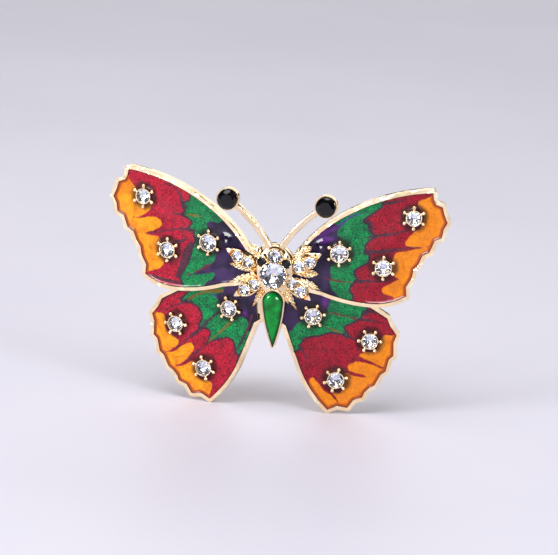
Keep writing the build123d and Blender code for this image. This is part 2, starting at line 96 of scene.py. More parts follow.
class Paint:
    """A material's node tree, with short ways to add to it."""

    def __init__(self, name):
        self.material = bpy.data.materials.new(name)
        self.material.use_nodes = True
        self.tree = self.material.node_tree
        self.surface = self.tree.nodes["Principled BSDF"]
        self.coords = self.tree.nodes.new("ShaderNodeTexCoord").outputs["Object"]

    def put(self, target, value):
        """Links the value to the input, or sets it there if it's plain."""
        if isinstance(value, bpy.types.NodeSocket):
            self.tree.links.new(value, target)
        else:
            target.default_value = value

    def set(self, **values):
        """Inputs of the surface shader, by name with underscores for spaces."""
        for key, value in values.items():
            self.put(self.surface.inputs[key.replace("_", " ")], value)

    def noise(self, scale, detail=2.0, rough=0.5, warp=0.0):
        """Soft noise around 0.5; the scale is in features per metre."""
        node = self.tree.nodes.new("ShaderNodeTexNoise")
        self.put(node.inputs["Vector"], self.coords)
        node.inputs["Scale"].default_value = scale
        node.inputs["Detail"].default_value = detail
        node.inputs["Roughness"].default_value = rough
        node.inputs["Distortion"].default_value = warp
        return node.outputs["Fac"]

    def cells(self, scale):
        """Distance to the nearest of scattered points."""
        node = self.tree.nodes.new("ShaderNodeTexVoronoi")
        self.put(node.inputs["Vector"], self.coords)
        node.inputs["Scale"].default_value = scale
        return node.outputs["Distance"]

    def maths(self, operation, first, second=0.0):
        node = self.tree.nodes.new("ShaderNodeMath")
        node.operation = operation
        self.put(node.inputs[0], first)
        self.put(node.inputs[1], second)
        return node.outputs[0]

    def spread(self, value, low, high, to_low=0.0, to_high=1.0):
        """The value eased from low..high to to_low..to_high."""
        node = self.tree.nodes.new("ShaderNodeMapRange")
        node.interpolation_type = "SMOOTHSTEP"
        self.put(node.inputs["Value"], value)
        for key, number in (("From Min", low), ("From Max", high), ("To Min", to_low), ("To Max", to_high)):
            node.inputs[key].default_value = number
        return node.outputs["Result"]

    def mix(self, factor, first, second):
        """The first colour at a factor of 0, and the second at 1."""
        node = self.tree.nodes.new("ShaderNodeMix")
        node.data_type = "RGBA"
        self.put(node.inputs[0], factor)
        self.put(node.inputs[6], first)
        self.put(node.inputs[7], second)
        return node.outputs[2]

    def attribute(self, name):
        """A number that the mesh carries under the name."""
        node = self.tree.nodes.new("ShaderNodeAttribute")
        node.attribute_name = name
        return node.outputs["Fac"]

    def bump(self, height, depth, below=None):
        """Relief from a height of 0..1, the depth in millimetres."""
        node = self.tree.nodes.new("ShaderNodeBump")
        node.inputs["Distance"].default_value = depth * MM
        self.put(node.inputs["Height"], height)
        if below is not None:
            self.put(node.inputs["Normal"], below)
        return node.outputs["Normal"]


def gold_paint(name, pale, deep, roughness, casting, grain):
    """Polished pale gold plate over a casting: soft dents, fine grain and a tone that warms in random
    patches.
    """
    paint = Paint(name)
    tone = paint.spread(paint.noise(420, 3, 0.6), 0.35, 0.7)
    colour = paint.mix(tone, pale, deep)
    smear = paint.spread(paint.noise(1900, 2), 0.4, 0.75, roughness * 0.75, roughness * 1.5)
    dents = paint.bump(paint.noise(650, 2, 0.5), casting)
    fine = paint.bump(paint.noise(5200, 3, 0.6), grain, dents)
    paint.set(Base_Color=colour, Metallic=1.0, Roughness=smear, Normal=fine)
    return paint.material


gold = gold_paint("gold_plate", rgb(255, 232, 196), rgb(247, 216, 168), 0.1, 0.14, 0.01)
carved_gold = gold_paint("carved_gold", rgb(255, 236, 204), rgb(244, 208, 154), 0.12, 0.11, 0.02)
pin_gold = gold_paint("pin_metal", rgb(246, 222, 178), rgb(238, 206, 154), 0.2, 0.01, 0.006)


def enamel_paint(name, base, purple_tone, orange_tone):
    """Glitter enamel poured in marbled colours under a clear coat, with painted glints, painted sheen and
    painted shade; the zones come with the mesh.
    """
    paint = Paint(name)
    wobble = paint.maths("SUBTRACT", paint.noise(900, 3, 0.6), 0.5)
    fray = paint.maths("MULTIPLY", wobble, 0.5)
    patches = paint.noise(700, 3, 0.6, 0.8)
    mottle = paint.noise(5200, 3, 0.65, 0.6)
    speckle = paint.spread(mottle, 0.38, 0.56)
    flakes = paint.cells(9000)
    # painted glints: bright specks that stand for light caught by the glitter
    glint = paint.spread(paint.cells(5200), 0.16, 0.05)

    def zone(key, soft):
        """1 inside the mesh's zone of that name, with a frayed edge."""
        value = paint.maths("ADD", paint.attribute(key), fray)
        return paint.spread(value, soft, -soft)

    green = paint.mix(paint.spread(patches, 0.35, 0.7), rgb(0, 148, 74), rgb(0, 104, 58))
    green = paint.mix(speckle, rgb(0, 48, 36), green)
    green = paint.mix(paint.maths("MULTIPLY", glint, 0.5), green, rgb(50, 205, 130))
    pools = paint.noise(230, 2, 0.5, 0.4)
    violet = paint.mix(paint.spread(pools, 0.35, 0.62), purple_tone, rgb(20, 6, 40))
    violet = paint.mix(paint.maths("MULTIPLY", glint, 0.25), violet, rgb(150, 70, 180))
    crimson = paint.mix(paint.spread(patches, 0.4, 0.9), base, rgb(112, 4, 28))
    crimson = paint.mix(speckle, rgb(62, 2, 20), crimson)
    crimson = paint.mix(paint.maths("MULTIPLY", glint, 0.3), crimson, rgb(225, 60, 80))
    plum = paint.mix(speckle, rgb(38, 24, 40), rgb(58, 36, 54))
    amber = paint.mix(paint.spread(patches, 0.35, 0.75), orange_tone, rgb(206, 110, 8))
    amber = paint.mix(paint.spread(mottle, 0.3, 0.5), rgb(176, 92, 10), amber)

    colour = green
    colour = paint.mix(zone("violet_streak", 0.12), colour, rgb(70, 40, 140))
    colour = paint.mix(zone("purple", 0.14), colour, violet)
    # painted sheen: paler violet patches that stand for light caught in the enamel
    colour = paint.mix(paint.maths("MULTIPLY", zone("painted_sheen", 0.5), 0.7), colour, rgb(112, 46, 150))
    colour = paint.mix(zone("crimson", 0.07), colour, plum)
    inner = paint.maths("ADD", paint.attribute("crimson"), 0.34)
    inner = paint.spread(paint.maths("ADD", inner, fray), 0.12, -0.12)
    colour = paint.mix(inner, colour, crimson)
    # plum veins between the lobes, and in places painted shadows of claws and rims
    veins_and_shadows = paint.maths("MULTIPLY", zone("vein_and_shadow", 0.09), 0.88)
    colour = paint.mix(veins_and_shadows, colour, plum)
    colour = paint.mix(paint.maths("MULTIPLY", zone("ochre", 0.09), 0.75), colour, rgb(122, 84, 12))
    colour = paint.mix(paint.maths("MULTIPLY", zone("wine", 0.08), 0.8), colour, rgb(92, 26, 40))
    in_orange = zone("orange", 0.09)
    colour = paint.mix(in_orange, colour, amber)
    # a browner band inside the orange along the rims: darker where the enamel runs deeper, and painted shade
    # of the rim's inner wall
    rim_band_and_shade = paint.maths("MULTIPLY", paint.spread(paint.attribute("rim"), 0.62, 0.32), in_orange)
    colour = paint.mix(rim_band_and_shade, colour, rgb(164, 66, 14))
    # painted shade: a dark line where the enamel meets its raised rims
    rim_shade = paint.maths("MULTIPLY", paint.spread(paint.attribute("rim"), 0.3, 0.0), 0.72)
    colour = paint.mix(rim_shade, colour, rgb(22, 10, 16))
    reach = paint.maths("ADD", paint.attribute("cup"), paint.maths("MULTIPLY", wobble, -0.9))
    shade = paint.maths("MULTIPLY", paint.spread(reach, 1.35, 0.45), 0.82)
    colour = paint.mix(shade, colour, rgb(16, 2, 6))

    sparkle = paint.bump(flakes, 0.01)
    wave = paint.bump(paint.noise(420, 1, 0.4), 0.01)
    paint.set(Base_Color=colour, Metallic=0.12, Roughness=0.42, Normal=sparkle, Coat_Normal=wave)
    paint.set(Coat_Weight=1.0, Coat_Roughness=0.03, Coat_IOR=1.32, Specular_IOR_Level=0.05)
    return paint.material


enamel_left = enamel_paint("wing_enamel_left", rgb(196, 16, 50), rgb(56, 34, 80), rgb(250, 160, 12))
enamel_right = enamel_paint("wing_enamel_right", rgb(166, 8, 38), rgb(52, 31, 74), rgb(230, 134, 4))


def body_paint():
    """Translucent green enamel over gold, with painted shade darkening it towards its edge."""
    paint = Paint("green_enamel")
    tone = paint.spread(paint.noise(600, 3, 0.6), 0.3, 0.7)
    colour = paint.mix(tone, rgb(0, 146, 50), rgb(0, 100, 36))
    colour = paint.mix(paint.spread(paint.noise(3800, 3), 0.42, 0.3), colour, rgb(0, 66, 30))
    # painted shade: darker green towards the dome's edge
    colour = paint.mix(paint.spread(paint.attribute("rim"), 0.5, 0.05), colour, rgb(0, 34, 16))
    wave = paint.bump(paint.noise(500, 1), 0.03)
    paint.set(Base_Color=colour, Metallic=0.3, Roughness=0.35, Coat_Normal=wave)
    paint.set(Coat_Weight=1.0, Coat_Roughness=0.03, Coat_IOR=1.32, Specular_IOR_Level=0.05)
    return paint.material


def crystal_paint():
    """Clear cut glass, with faint wear on its facets."""
    paint = Paint("crystal")
    tint = paint.mix(paint.spread(paint.noise(900, 2), 0.3, 0.7), rgb(255, 255, 255), rgb(246, 247, 252))
    paint.set(Base_Color=tint, Roughness=paint.spread(paint.noise(6000, 2), 0.5, 0.8, 0.0, 0.03))
    paint.set(Transmission_Weight=1.0, IOR=1.62)
    return paint.material


def foil_paint():
    """The silvered back of a crystal."""
    paint = Paint("crystal_foil")
    tone = paint.mix(paint.spread(paint.noise(1500, 2), 0.3, 0.7), rgb(252, 252, 255), rgb(232, 235, 244))
    paint.set(Base_Color=tone, Metallic=1.0, Roughness=0.03)
    return paint.material


def jet_paint():
    """Polished black glass."""
    paint = Paint("jet")
    tone = paint.mix(paint.spread(paint.noise(1200, 2), 0.3, 0.7), rgb(3, 3, 5), rgb(9, 9, 12))
    paint.set(Base_Color=tone, Roughness=paint.spread(paint.noise(7000, 2), 0.4, 0.8, 0.03, 0.10))
    paint.set(Specular_IOR_Level=0.4)
    return paint.material


def floor_paint():
    """A plain pale board with a barely seen grain."""
    paint = Paint("floor")
    tone = paint.spread(paint.noise(12, 3), 0.3, 0.7)
    colour = paint.mix(tone, rgb(228, 225, 238), rgb(223, 220, 234))
    paint.set(Base_Color=colour, Roughness=0.5, Normal=paint.bump(paint.noise(900, 2), 0.02))
    return paint.material


body_green = body_paint()
crystal = crystal_paint()
foil = foil_paint()
jet = jet_paint()

# ---- enamel colours, painted shadows and painted sheen, by wing: closed outlines in wing millimetres (a third value marks a
# cusp), and streaks as (half-width at the start, in the middle, at the end, points) ---------------------
ZONES = {
    "upper_left": {
        "purple": [[
            (1, 13), (6.9, 12), (7.4, 11.2), (8.2, 10.8, 1), (7.75, 10.3), (8.5, 9.75), (9.6, 9.9),
            (10.35, 9.3), (10.1, 8.5), (10.3, 6.5), (9.7, 5.5), (8.7, 4.9), (8.8, 4), (9.8, 3),
            (11.5, 1.85), (14, 0.55, 1), (12.3, 1), (10.5, 1.5), (8.9, 1.95, 1), (8.8, 1.4),
            (9.3, 0.8), (10.2, -0.1), (10, -2), (1, -2)]],
        "crimson": [[
            (13.2, 16), (13.05, 14.6), (13, 13.2), (13.3, 12.4), (14, 12.15), (14.2, 11.5),
            (13.85, 10.9), (14.3, 10.35, 1), (13.3, 10), (12.7, 9.4), (12.65, 8.9), (13.1, 8.4),
            (12.5, 8.2, 1), (12.1, 7.2), (12, 6.3), (12.4, 5.2), (12.75, 4), (13.1, 2.8),
            (13.6, 1.8), (14.3, 0.4), (14.8, -2), (30, -2), (30, 20), (13.2, 20)]],
        "orange": [
            [(24.2, 15.6), (23.4, 14.8), (22.5, 13.9), (21.6, 13.2), (20.7, 12.4), (19.9, 11.9),
             (19.6, 11.1), (19.8, 10.4), (20.6, 9.7), (21.5, 9.2), (22.3, 8.95, 1), (27, 8.9), (28, 14)],
            [(27, 8.7), (22.3, 8.82, 1), (21.2, 8.95), (20.1, 9.25), (19, 9.4), (18.1, 9.1),
             (17.8, 8.5), (18.1, 7.85), (19, 7.3), (20, 6.95), (20.9, 6.72, 1), (27, 6.7)],
            [(27, 6.5), (20.9, 6.58, 1), (20, 6.45), (18.9, 6.4), (18.2, 6.3), (17.6, 5.2),
             (17.2, 4), (17.1, 3.2), (17.3, 2.3), (17.8, 1.5), (18.6, 1.05), (19.4, 0.85),
             (20.2, 0.6, 1), (27, 0.5)]],
        "vein_and_shadow": [
            (0.32, 0.26, 0.04, [(13.9, 11.5), (14.4, 12.2), (15, 13.5), (15.9, 14.4), (17.5, 14.9)]),
            (0.18, 0.14, 0.03, [(14, 10.35), (15.5, 10.3), (17.3, 10.1)]),
            (0.3, 0.16, 0.06, [(12.4, 8), (14, 8.1), (16, 7.8), (18, 7.2), (20.8, 6.65)]),
            (0.3, 0.8, 0.45, [(12.7, 6), (13.3, 4.6), (13.9, 2.6), (14.8, 0.6)]),
            # painted shadow of a claw setting, below the stone
            (0.1, 0.3, 0.1, [(13.2, 6.9), (14.6, 6.1), (15.6, 6.2)]),
            # painted shadow along the bottom rim
            (0.1, 0.3, 0.12, [(13.8, -0.5), (17, -0.3), (19.6, 0.2)])],
        "wine": [(0.05, 0.22, 0.05, [(8, 4.2), (9.5, 3.1), (11, 2.2), (12.5, 1.35), (14.3, 0.55)])],
        "ochre": [(0.04, 0.2, 0.03, [(11.4, 10.3), (12.5, 10.45), (14.3, 10.38)])],
        "painted_sheen": [(0.1, 0.25, 0.1, [(4, 8.2), (4.3, 7.2), (4.2, 6.6)])],
        "violet_streak": [(0.02, 0.08, 0.02, [(8.6, 4.6), (9.2, 3.9), (10.2, 3)])],
        "lens": (7.0, 6.65)},
    "upper_right": {
        "purple": [[
            (1, 13), (7.8, 11.7), (8.5, 11.2), (9.4, 10.9), (9.65, 10.3), (9.3, 9.7), (9.9, 9),
            (10.2, 8), (10.1, 6.5), (9.6, 5.3), (8.8, 4.6), (8.6, 3.6), (8.75, 2.9), (8.6, 2.2),
            (8.65, 1.6), (9, 0.9), (9.8, 0.1), (10, -2), (1, -2)]],
        "crimson": [[
            (15.4, 17), (15.7, 15.2), (15.85, 14.6), (15.6, 13.9), (14.8, 13.3), (14, 12.6),
            (13.2, 12.1), (13.2, 11.5), (13.8, 11), (14, 10.2), (14.4, 9.8), (14.9, 9.4, 1),
            (14.4, 9), (13.7, 8.3), (13.5, 7.6), (13.6, 6.9), (14.15, 6.3), (14.3, 5.6),
            (13.7, 5.1), (12.7, 4.6), (12.1, 3.9), (12.2, 3.2), (12.5, 2.7), (12.2, 2.2),
            (11.8, 1.7), (11.5, 1.2), (11.6, 0.6), (12.1, -0.2), (12.3, -2), (30, -2), (30, 20),
            (15.4, 20)]],
        "orange": [
            [(27, 17.5), (22.6, 15.6), (21.9, 15.3), (21.3, 14.9), (21.3, 14.2), (22.2, 13.2),
             (22.2, 11.9), (21.8, 10.95), (20.9, 10.2), (20.2, 9.5), (19.7, 8.7), (19.9, 8.15),
             (21.4, 8), (23.1, 8.12, 1), (27, 8.2)],
            [(27, 8), (23.1, 8.02, 1), (22.5, 7.85), (21, 7.55), (19.3, 7.15), (18.4, 6.85),
             (18, 6.2), (17.8, 5.3), (17.8, 4.4), (18.1, 3.6), (18.6, 3.15), (19.05, 2.85, 1),
             (18.1, 2.4), (17.4, 1.95), (16.8, 1.5), (16.5, 1), (16.9, 0.55), (17.7, 0.25),
             (18.4, -0.1), (19, -2), (27, -2)]],
        "vein_and_shadow": [
            (0.05, 0.26, 0.05, [(12, 8.85), (13.5, 9.05), (15, 9.35), (17, 9.75), (19, 10.25), (21.2, 10.8)]),
            (0.5, 0.26, 0.05, [(13.9, 6.9), (15.2, 6.95), (17.3, 7.2), (19.5, 7.7), (23, 8.1)]),
            (0.3, 0.22, 0.05, [(12.4, 2.3), (14, 2.35), (16, 2.4), (18.8, 2.85)]),
            (0.28, 0.2, 0.04, [(15.9, 14.5), (17, 14.6), (18.5, 15.05), (20.5, 15.4)]),
            (0.3, 0.42, 0.2, [(13.6, 11.8), (14.2, 11.2), (14.6, 10.2)])],
        "wine": [(0.18, 0.14, 0.14, [(7.9, 2.6), (9, 2.35), (10.5, 2.1), (12.2, 2.1)])],
        "ochre": [],
        "painted_sheen": [
            (0.1, 0.3, 0.1, [(6.2, 8.7), (7.6, 9.7), (9.2, 10.5)]),
            (0.05, 0.4, 0.05, [(7, 8.2), (8, 8.6), (9.2, 8.4)])],
        "violet_streak": [
            (0.22, 0.14, 0.03, [(9.4, 10.6), (10.3, 11.3), (11.2, 12.2), (12.5, 12.7), (13.6, 12.95)])],
        "lens": (7.1, 7.0)},
    "lower_left": {
        "purple": [[
            (-1, 3), (7.5, 1.5), (7.5, 0.2), (7.4, -0.6), (8, -1.2), (8.6, -1.8), (8.2, -2.6),
            (7.4, -3.4), (6.3, -3.8), (5.3, -4.6), (4.1, -4.7), (3.4, -5.2), (3.2, -6.2),
            (3.3, -6.9, 1), (2.4, -6.5), (1, -5.5), (-1, -5)]],
        "crimson": [[
            (13.2, 0), (13.1, -1.6), (13.5, -2.4), (14.3, -3.2, 1), (13.2, -3.25), (12.2, -3.5),
            (11.3, -4.1), (10.7, -5.1), (10.8, -6.2), (11.1, -6.9), (11.05, -7.3, 1), (10.3, -6.95),
            (9.6, -7.2), (9.2, -7.8), (9.4, -8.6), (9.6, -9.2, 1), (8.6, -8.6), (7.6, -8.3),
            (6.5, -8.1), (5.7, -8.3), (5.3, -8.8), (5.1, -9.8), (4.7, -10.6), (3.9, -10.3),
            (2, -11), (2, -21), (25, -21), (25, 0)]],
        "orange": [
            [(21, -5.6), (18.4, -5.75), (17.4, -5.85), (16.9, -6.4), (17, -7.6), (16.6, -8.6),
             (15.4, -9.2), (14.6, -9.8), (14.8, -10.4), (15.6, -11.2), (16.5, -11.8, 1), (21, -11.9)],
            [(21, -12.1), (16.5, -11.95, 1), (15.3, -11.6), (14.1, -10.6), (13.1, -9.9),
             (12.3, -9.9), (12.1, -10.7), (12.6, -11.8), (13.4, -12.8), (14.3, -13.5),
             (15, -13.75, 1), (18, -14)],
            [(18, -14.1), (14.6, -13.95, 1), (13.4, -13.5), (12.5, -13), (11.8, -12.7),
             (11.4, -13.6), (11.6, -14.6), (10.9, -15.4), (9.4, -15.5), (8.8, -16.1), (8.9, -17),
             (9.3, -17.8), (10, -21), (18, -21)]],
        "vein_and_shadow": [
            (0.12, 0.24, 0.06, [(11.6, -1.9), (12.4, -2.5), (13.9, -3.45), (15.6, -4.45), (17.8, -5.6)]),
            (0.22, 0.32, 0.05, [
                (8.2, -4.4), (9.6, -5.7), (10.6, -6.8), (11.7, -8), (13, -9.2), (14.5, -10.7),
                (16.2, -11.8)]),
            (0.15, 0.18, 0.04, [(9.6, -9.2), (10.9, -10.6), (12, -11.6), (13.2, -13), (14.6, -13.8)]),
            (0.1, 0.26, 0.05, [(2.8, -4.2), (3.2, -6), (3.9, -7.8), (4.8, -9.6), (5.6, -11.3), (6.4, -12.8)]),
            (0.3, 0.4, 0.1, [(3.4, -9.2), (4.2, -10.6), (5, -12.2)]),
            (0.3, 0.36, 0.1, [(13, -1.4), (14.6, -1.7), (16.4, -2.6), (17.6, -4)])],
        "wine": [(0.1, 0.18, 0.1, [(2.6, -4), (3, -5.6), (3.6, -7.2)])],
        "ochre": [
            (0.2, 0.2, 0.13, [(5.6, -5.1), (7, -6.7), (8.4, -8.1), (9.6, -9.2)]),
            (0.3, 0.26, 0.1, [(7.6, -0.9), (9, -1.1), (10.5, -1.4), (12, -2.2), (13.3, -3.1)])],
        "painted_sheen": [(0.1, 0.35, 0.1, [(3.6, -4.1), (4.2, -3.9), (4.9, -3.8)])],
        "violet_streak": [(0.3, 0.3, 0.1, [(7.6, -1.6), (8.3, -2.1), (9.2, -1.7)])],
        "lens": None},
    "lower_right": {
        "purple": [[
            (-1, 3), (9.6, 1.5), (9.2, -0.3), (8.8, -1.2), (8.55, -2.3), (8.1, -3.1), (6.3, -3.7),
            (5.2, -4.3), (4.2, -4.7), (3.6, -5.3), (3.1, -6), (1.5, -6.5), (-1, -6)]],
        "crimson": [[
            (15.2, -1), (14.3, -2.5), (13.6, -3), (13.6, -3.5, 1), (12.3, -4.2), (11.2, -4.8),
            (11, -5.5), (11.3, -6.1), (11.6, -6.5, 1), (10.8, -6.1), (9.8, -5.95), (8.5, -6.05),
            (7.4, -6.45), (6, -6.65), (5, -7.1), (4.5, -7.9), (4.3, -8.8), (3.5, -9.3), (2, -10),
            (2, -21), (25, -21), (25, -1)]],
        "orange": [
            [(21, -6), (18.2, -6.1), (17.2, -6.2), (16.6, -7), (16.3, -8.2), (15.4, -8.9),
             (14.1, -9.05), (13.7, -9.5), (14.3, -10), (15.5, -10.4), (17.1, -11.15, 1), (21, -11.3)],
            [(21, -11.6), (17, -11.4, 1), (15.8, -10.95), (14.6, -10.6), (13.4, -10.5),
             (12.4, -10.75), (11.9, -11.3), (12.2, -11.9), (13, -12.25), (14, -12.45),
             (15, -12.7, 1), (21, -13)],
            [(21, -12.5), (15.2, -12.85, 1), (14, -12.95), (12.8, -12.7), (11.6, -12.3),
             (11.2, -13.4), (11.4, -14.6), (10.8, -15.6), (9.8, -15.3), (9.9, -15.8),
             (10.7, -16.8, 1), (10.7, -21), (21, -21)],
            [(6.5, -13.25), (6.15, -13.9), (6.6, -15.2), (7.2, -16.5), (8, -20), (10.6, -20),
             (10.4, -16.9, 1), (9.4, -15.9), (8.3, -15.2), (7.5, -14.1), (6.9, -13.4)]],
        "vein_and_shadow": [
            (0.22, 0.16, 0.04, [(13.2, -3.75), (14.6, -3.85), (16.5, -4.1)]),
            (0.28, 0.2, 0.06, [(11.2, -6.2), (12.3, -6.8), (13.4, -7.4)]),
            (0.2, 0.22, 0.05, [(4.3, -8.2), (5, -9.3), (5.6, -10.6)]),
            (0.3, 0.3, 0.2, [(13.9, -2.6), (15.3, -2.4), (17.4, -2.9)])],
        "wine": [(0.12, 0.2, 0.14, [(8.3, -2.9), (10.5, -3.2), (12.9, -3.75)])],
        "ochre": [(0.05, 0.12, 0.08, [(8.2, -5.1), (9.5, -5.6), (10.9, -6.1)])],
        "painted_sheen": [(0.1, 0.4, 0.2, [(8, 0.1), (8, -1.2), (7.8, -2.4)])],
        "violet_streak": [],
        "lens": None},
}


def smooth_line(points, closed, steps=7):
    """A smooth curve through the points, as an array; a third value marks a cusp."""
    places = [Vector(point[:2]) for point in points]
    cusps = [len(point) > 2 for point in points]
    count = len(points)
    curve = []
    for i in range(count if closed else count - 1):
        j = (i + 1) % count
        start, end = places[i], places[j]
        before = places[i - 1] if closed or i else start
        after = places[(j + 1) % count] if closed or j + 1 < count else end
        leave = end - start if cusps[i] else (end - before) / 2
        arrive = end - start if cusps[j] else (after - start) / 2
        for k in range(steps):
            t = k / steps
            curve.append(
                (2 * t**3 - 3 * t**2 + 1) * start + (t**3 - 2 * t**2 + t) * leave
                + (3 * t**2 - 2 * t**3) * end + (t**3 - t**2) * arrive)
    if not closed:
        curve.append(places[-1])
    return np.array([tuple(point) for point in curve])


def line_distance(spots, starts, ends, widths=None):
    """The least distance from each spot to the segments, less each segment's half-width."""
    best = np.full(len(spots), 1e9)
    for k, (start, end) in enumerate(zip(starts, ends)):
        along = end - start
        share = np.clip((spots - start) @ along / max(along @ along, 1e-12), 0, 1)
        gap = np.linalg.norm(spots - start - share[:, None] * along, axis=1)
        if widths is not None:
            gap = gap - (widths[k] + (widths[k + 1] - widths[k]) * share)
        best = np.minimum(best, gap)
    return best


def inside(spots, outline):
    """Which spots lie inside the closed outline."""
    hit = np.zeros(len(spots), bool)
    for start, end in zip(outline, np.roll(outline, -1, axis=0)):
        rises = (start[1] > spots[:, 1]) != (end[1] > spots[:, 1])
        if start[1] != end[1]:
            cross = start[0] + (spots[:, 1] - start[1]) / (end[1] - start[1]) * (end[0] - start[0])
            hit ^= rises & (spots[:, 0] < cross)
    return hit


def zone_field(spots, outlines):
    """Signed distance to the outlines' union: below zero inside."""
    field = np.full(len(spots), 9.0)
    for points in outlines:
        outline = smooth_line(points, True)
        gap = line_distance(spots, outline, np.roll(outline, -1, axis=0))
        field = np.minimum(field, np.where(inside(spots, outline), -gap, gap))
    return field


def streak_field(spots, streaks):
    """Signed distance to the streaks' edges: below zero inside."""
    field = np.full(len(spots), 9.0)
    for first, middle, last, points in streaks:
        line = smooth_line(points, False, 6)
        shares = np.linspace(0, 1, len(line))
        widths = np.interp(shares, (0, 0.4, 1), (first, middle, last))
        field = np.minimum(field, line_distance(spots, line[:-1], line[1:], widths))
    return field


# ---- enamel ------------------------------------------------------------------------------------
MENISCUS = 0.08                         # how far the enamel climbs its rims
RIM_FALL = 0.3                          # and how fast that dies away, at a rim and at a cup
CUP_FALL = 0.25
SAG = 0.02                              # how far it lies below its rims elsewhere
SWELL = 0.035                           # height of its slow waves
LENS_RISE = 0.28                        # height and reach of the drop next to the flower
LENS_REACH = 1.3
ENAMEL_SHEET = 0.3                      # thickness of the modelled sheet
CELL = 0.22     # spacing of the surface's mesh
CUP_REACH = 1.6                         # the enamel's edges nearer to a stone go round its cup
FLAT_ENOUGH = 2e-5                      # how far, in metres, a front face may stand off its plane


def front_faces(shape, facing, height):
    """Cuts the mesh down to its flat front, whose plane stands at the height along the facing."""
    bmesh.ops.remove_doubles(shape, verts=shape.verts, dist=1e-7)
    rest = [f for f in shape.faces
            if f.normal.dot(facing) < 0.9
            or abs(f.calc_center_median().dot(facing) - height) > FLAT_ENOUGH]
    bmesh.ops.delete(shape, geom=rest, context="FACES")
    bmesh.ops.dissolve_limit(shape, angle_limit=0.01, verts=shape.verts, edges=shape.edges)


def slice_up(shape, normal, spacing):
    """Cuts the mesh by evenly spaced planes across the normal; the spacing is in metres."""
    reach = [v.co.dot(normal) for v in shape.verts]
    for k in range(1, ceil((max(reach) - min(reach)) / spacing)):
        bmesh.ops.bisect_plane(shape, geom=shape.verts[:] + shape.edges[:] + shape.faces[:],
                               plane_co=normal * (min(reach) + spacing * k), plane_no=normal, dist=1e-8)


def thicken(shape, step):
    """Extrudes the whole open sheet by the step, and leaves it closed."""
    grown = bmesh.ops.extrude_face_region(shape, geom=shape.faces[:])
    for item in grown["geom"]:
        if isinstance(item, bmesh.types.BMVert):
            item.co += step
    bmesh.ops.recalc_face_normals(shape, faces=shape.faces)


def store_field(mesh, name, values):
    """Keeps one number per vertex, for the materials to read by name."""
    layer = mesh.attributes.new(name, "FLOAT", "POINT")
    layer.data.foreach_set("value", values.astype(np.float32))


def add_object(name, mesh):
    """A new visual piece on the fixed body."""
    piece = bpy.data.objects.new(name, mesh)
    bpy.context.scene.collection.objects.link(piece)
    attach(piece, "root")
    return piece


def enamel_sheet(node, key, side, top, paint):
    """The node's enamel as a fine mesh: it climbs the rims, sags and swells, and carries zones."""
    mesh = nodes[node].data.copy()
    shape = bmesh.new()
    shape.from_mesh(mesh)
    facing = forward(side)
    outward = Vector((side * cos(BEND), sin(BEND), 0))
    origin = wing_point(side, 0, 0, top)

    def flat(verts):
        return [((v.co - origin).dot(outward) / MM, v.co.z / MM - RIDGE.z) for v in verts]

    front_faces(shape, facing, origin.dot(facing))
    edge_lines = np.array([flat(edge.verts) for edge in shape.edges if edge.is_boundary])
    slice_up(shape, outward, CELL * MM)
    slice_up(shape, Vector((0, 0, 1)), CELL * MM)
    bmesh.ops.remove_doubles(shape, verts=shape.verts, dist=1e-6)
    bmesh.ops.triangulate(shape, faces=[f for f in shape.faces if len(f.verts) > 4])

    round_cup = np.zeros(len(edge_lines), bool)
    for stone in CUPS[key.split("_")[0]]:
        round_cup |= np.linalg.norm(edge_lines.mean(axis=1) - stone, axis=1) < CUP_REACH
    rim_lines = edge_lines[~round_cup]
    cup_lines = edge_lines[round_cup]
    zones = ZONES[key]

    spots = np.array(flat(shape.verts))
    rim = line_distance(spots, rim_lines[:, 0], rim_lines[:, 1])
    cup = line_distance(spots, cup_lines[:, 0], cup_lines[:, 1])
    climb = MENISCUS * (np.exp(-rim / RIM_FALL) + 0.5 * np.exp(-cup / CUP_FALL)) - SAG
    waves = np.sin(spots[:, 0] * 0.9 + 1.3) * np.sin(spots[:, 1] * 1.1 + 0.4)
    climb += SWELL * waves * (1 - np.exp(-rim / 1.2))
    if zones["lens"]:
        gap = np.linalg.norm(spots - np.array(zones["lens"]), axis=1)
        climb += LENS_RISE * np.exp(-(gap / LENS_REACH) ** 2)
    for vertex, height in zip(shape.verts, climb):
        vertex.co += facing * float(height) * MM
    for face in shape.faces:
        face.smooth = True
    thicken(shape, -facing * ENAMEL_SHEET * MM)

    spots = np.array(flat(shape.verts))
    shape.to_mesh(mesh)
    shape.free()
    mesh.name = f"{node}_sheet"
    for name in ("purple", "crimson", "orange"):
        store_field(mesh, name, zone_field(spots, zones[name]))
    store_field(mesh, "rim", line_distance(spots, rim_lines[:, 0], rim_lines[:, 1]))
    store_field(mesh, "cup", line_distance(spots, cup_lines[:, 0], cup_lines[:, 1]))
    for name in ("vein_and_shadow", "wine", "ochre", "painted_sheen", "violet_streak"):
        store_field(mesh, name, streak_field(spots, zones[name]))
    mesh.materials.clear()
    mesh.materials.append(paint)
    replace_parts(add_object(f"{node}_glass", mesh), node)


def stone_spots(prefix):
    """Where the stones of one kind of wing stand, in wing millimetres, read from their nodes."""
    spots = []
    for name in sorted(nodes):
        if name.startswith(prefix) and name.endswith("right"):
            low, high = (Vector(corner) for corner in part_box(name))
            middle = (low + high) / 2 - wing_point(1, 0, 0, 0)
            spots.append((middle.dot(Vector((cos(BEND), sin(BEND), 0))) / MM, middle.z / MM))
    return spots


CUPS = {"upper": stone_spots("wing_stone_upper"), "lower": stone_spots("wing_stone_lower")}
for side, side_name, paint in ((-1, "left", enamel_left), (1, "right", enamel_right)):
    enamel_sheet(f"upper_enamel_{side_name}", f"upper_{side_name}", side, UPPER_TOP, paint)
    enamel_sheet(f"lower_enamel_{side_name}", f"lower_{side_name}", side, LOWER_TOP, paint)

